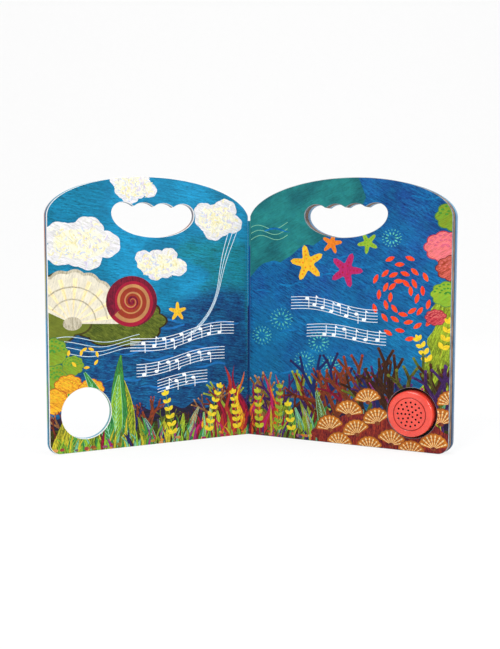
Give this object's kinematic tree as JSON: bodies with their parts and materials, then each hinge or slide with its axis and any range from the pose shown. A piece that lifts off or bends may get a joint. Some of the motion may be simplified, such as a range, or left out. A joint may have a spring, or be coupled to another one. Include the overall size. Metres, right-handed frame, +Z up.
{
  "type": "song book",
  "caption": "Open children's board book with an arched top, a scalloped hand hole and a round red push button that holds a loudspeaker.",
  "frame": {"origin": "on the surface the book stands on, under the middle of its bounding box", "axes": "+X to the right as the open pages are read, +Y from the reader towards the spine, +Z up along the spine"},
  "size_m": [0.3508, 0.1032, 0.24],
  "materials": {
    "printed_board": "satin",
    "cover_board": "satin",
    "black_plastic": "matte",
    "red_plastic": "satin",
    "steel": "satin",
    "speaker_paper": "matte",
    "magnet": "satin",
    "circuit_board": "satin",
    "insulation": "matte"
  },
  "bodies": {
    "back_block": {"back_cover": "cover_board", "right_pages": "printed_board", "module_base": "black_plastic", "circuit_board": "circuit_board", "sound_chip": "black_plastic", "switch_body": "black_plastic", "front_contact": "steel", "back_contact": "steel", "button_cell_1": "steel", "button_cell_2": "steel", "button_cell_3": "steel", "battery_door": "black_plastic", "door_screw": "steel", "board_screw_1": "steel", "board_screw_2": "steel"},
    "front_block": {"front_cover": "cover_board", "left_pages": "printed_board"},
    "button": {"button_cap": "red_plastic", "speaker_frame": "steel", "speaker_cone": "speaker_paper", "speaker_magnet": "magnet", "speaker_retainer": "black_plastic", "retainer_screw_1": "steel", "retainer_screw_2": "steel", "retainer_screw_3": "steel", "switch_stem": "red_plastic", "return_spring": "steel", "speaker_lead_1": "insulation", "speaker_lead_2": "insulation"}
  },
  "joints": [
    {"name": "front_cover_fold", "type": "hinge", "parent": "back_block", "child": "front_block", "pos_m": [-0.00201, 0.03938, 0.1], "axis": [0, 0, 1], "range_deg": [-56.4, 123.6]},
    {"name": "button_press", "type": "slide", "parent": "back_block", "child": "button", "axis": [0.4726, 0.8813, 0], "range_m": [0, 0.0012], "stiffness_N_per_m": 900, "springref_m": -0.0006, "deforming": ["return_spring", "speaker_lead_1", "speaker_lead_2"]}
  ]
}
